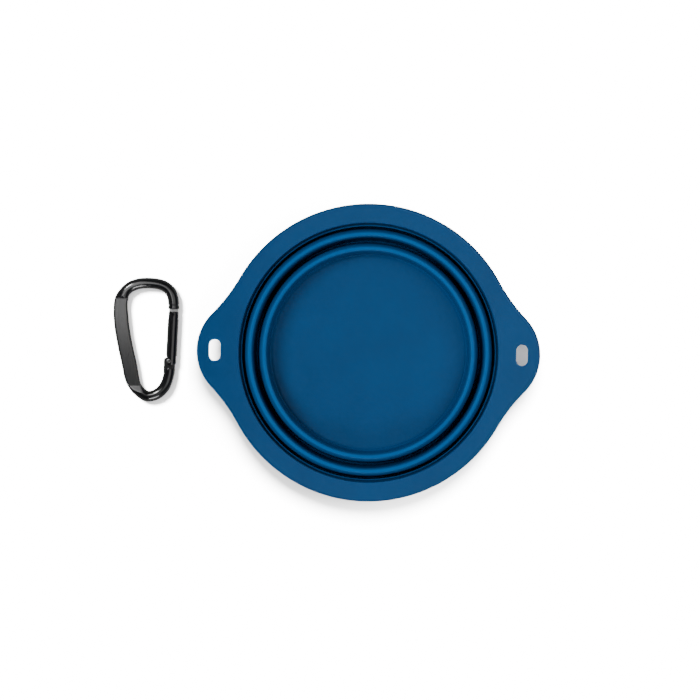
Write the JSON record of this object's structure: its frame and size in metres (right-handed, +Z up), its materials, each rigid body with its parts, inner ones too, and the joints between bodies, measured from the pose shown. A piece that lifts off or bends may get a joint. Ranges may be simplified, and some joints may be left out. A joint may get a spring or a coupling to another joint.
{
  "type": "collapsible travel bowl with carabiner",
  "caption": "Folding travel bowl in blue elastomer with a flat eared rim, nested wall folds and a black snap carabiner beside it.",
  "frame": {"origin": "middle of the base plate's flat underside, on the table, on the bowl's axis", "axes": "+Z up along the bowl's axis, +X through one ear's slot and away from the carabiner, +Y across"},
  "size_m": [0.1869, 0.13, 0.0135],
  "materials": {
    "rim_plastic": "matte moulded plastic, blue",
    "flexible_wall": "satin flexible elastomer, blue",
    "floor_skin": "satin flexible elastomer, blue",
    "base_plastic": "matte moulded plastic, dark blue",
    "black_anodised": "black anodised aluminium, satin",
    "gate_black": "black anodised aluminium, satin",
    "pin_steel": "plain steel",
    "spring_steel": "drawn spring wire"
  },
  "bodies": {
    "base": {"floor_disc": "floor_skin", "base_plate": "base_plastic", "inner_wall": "flexible_wall", "inner_fold_web": "flexible_wall"},
    "middle_stage": {"middle_wall": "flexible_wall", "outer_fold_web": "flexible_wall"},
    "rim_stage": {"rim_flange": "rim_plastic", "outer_wall": "flexible_wall"},
    "carabiner": {"carabiner_frame": "black_anodised"},
    "carabiner_gate": {"gate": "gate_black", "hinge_rivet": "pin_steel", "latch_pin": "pin_steel", "gate_spring": "spring_steel"},
    "plunger": {"spring_plunger": "pin_steel"}
  },
  "joints": [
    {"name": "lower_stage_rise", "type": "slide", "parent": "base", "child": "middle_stage", "axis": [0, 0, 1], "range_m": [0, 0.0204], "deforming": ["inner_fold_web"]},
    {"name": "upper_stage_rise", "type": "slide", "parent": "middle_stage", "child": "rim_stage", "axis": [0, 0, 1], "range_m": [0, 0.0204], "deforming": ["outer_fold_web"]},
    {"name": "carabiner_lift", "type": "slide", "parent": "base", "child": "carabiner", "axis": [0, 0, 1], "range_m": [0, 0.05]},
    {"name": "gate_swing", "type": "hinge", "parent": "carabiner", "child": "carabiner_gate", "pos_m": [-0.08715, -0.00525, 0.0024], "axis": [0, 0, 1], "range_deg": [0, 28], "stiffness_Nm_per_rad": 0.02, "springref_deg": -28.65},
    {"name": "plunger_travel", "type": "slide", "parent": "carabiner_gate", "child": "plunger", "axis": [0.0332, 0.9995, 0], "range_m": [0, 0.0003], "deforming": ["gate_spring"]}
  ],
  "couplings": [
    {"joint": "plunger_travel", "follows": "gate_swing", "m_per_rad": 0.000613}
  ]
}
